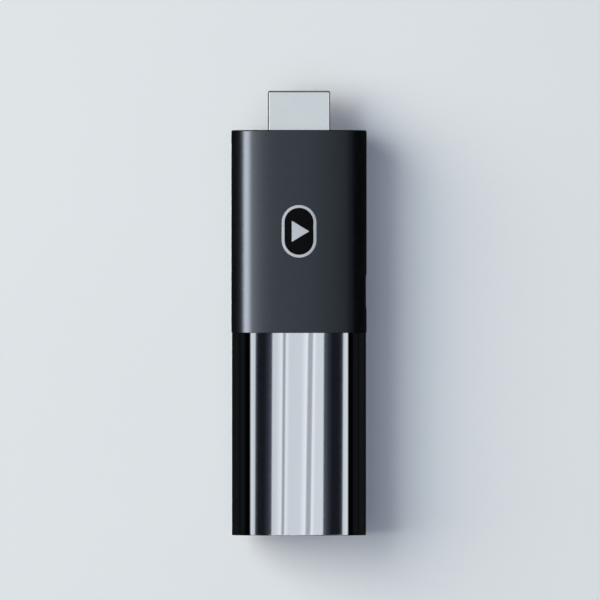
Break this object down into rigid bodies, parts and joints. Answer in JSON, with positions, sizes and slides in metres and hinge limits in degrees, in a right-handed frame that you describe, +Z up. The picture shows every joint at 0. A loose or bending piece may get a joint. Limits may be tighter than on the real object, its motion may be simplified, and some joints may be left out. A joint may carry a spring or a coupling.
{
  "type": "streaming media player",
  "caption": "Slim oval stick, half matte and half gloss, with a video plug on one end and a power port in its side; board, shields and heat spreaders inside.",
  "frame": {"origin": "middle of the whole length and width, on the surface that the stick's back rests on", "axes": "+Y out of the video plug, +X towards the side with the power port, +Z up through the face with the emblem"},
  "size_m": [0.0302, 0.0992, 0.0152],
  "materials": {
    "matte_casing": "fine-grained matt dark grey moulding",
    "gloss_casing": "polished black moulding, mirror gloss",
    "emblem_black": "polished black inlay",
    "emblem_silver": "satin silver inlay",
    "plug_metal": "bright nickel plate on pressed steel",
    "connector_plastic": "black moulded connector body",
    "contact_gold": "gold-plated spring contacts",
    "conductive_foam": "grey conductive foam",
    "frame_plastic": "dark glass-filled moulding",
    "screw_steel": "plated steel",
    "spreader_aluminium": "satin pressed aluminium",
    "thermal_pad": "soft blue-grey gap pad",
    "tail_foam": "dark cushion foam",
    "board_laminate": "green solder mask on glass laminate",
    "shield_steel": "tinned steel sheet",
    "chip_mould": "black moulding compound",
    "inductor_core": "grey moulded ferrite",
    "capacitor_body": "tan sintered ceramic",
    "tantalum_body": "amber moulded case",
    "resistor_body": "black glazed film on ceramic",
    "fuse_body": "green laminate fuse body",
    "led_lens": "cream reflector with clear lens",
    "light_pipe": "frosted clear moulding",
    "module_laminate": "blue solder mask on glass laminate",
    "antenna_metal": "tinned spring bronze",
    "clip_plastic": "natural nylon"
  },
  "bodies": {
    "root": {"front_sleeve": "matte_casing", "rear_sleeve": "gloss_casing", "plug_end_plate": "matte_casing", "tail_cap": "gloss_casing", "emblem_ring": "emblem_silver", "emblem_field": "emblem_black", "emblem_triangle": "emblem_silver", "video_plug_shell": "plug_metal", "video_plug_insulator": "connector_plastic", "video_plug_contacts_upper": "contact_gold", "video_plug_contacts_lower": "contact_gold", "plug_gasket": "conductive_foam", "power_port_shell": "plug_metal", "power_port_tongue": "connector_plastic", "power_port_contacts": "contact_gold", "status_led": "led_lens", "light_pipe": "light_pipe", "mid_frame": "frame_plastic", "frame_screws": "screw_steel", "heat_spreader_top": "spreader_aluminium", "heat_spreader_bottom": "spreader_aluminium", "spreader_pad_top": "thermal_pad", "spreader_pad_bottom": "thermal_pad", "processor_pad": "thermal_pad", "tail_foam_pad": "tail_foam", "main_board": "board_laminate", "shield_frame_top": "shield_steel", "shield_lid_top": "shield_steel", "shield_frame_bottom": "shield_steel", "shield_lid_bottom": "shield_steel", "processor": "chip_mould", "memory_chips": "chip_mould", "flash_storage_chip": "chip_mould", "power_management_chip": "chip_mould", "power_inductors": "inductor_core", "bulk_capacitors": "tantalum_body", "ceramic_capacitors": "capacitor_body", "chip_resistors": "resistor_body", "signal_filters": "inductor_core", "surge_protection_arrays": "chip_mould", "port_fuse": "fuse_body", "clock_crystals": "shield_steel", "wireless_module_board": "module_laminate", "wireless_module_can": "shield_steel", "antenna_left": "antenna_metal", "antenna_right": "antenna_metal", "antenna_clips": "clip_plastic"}
  },
  "joints": []
}
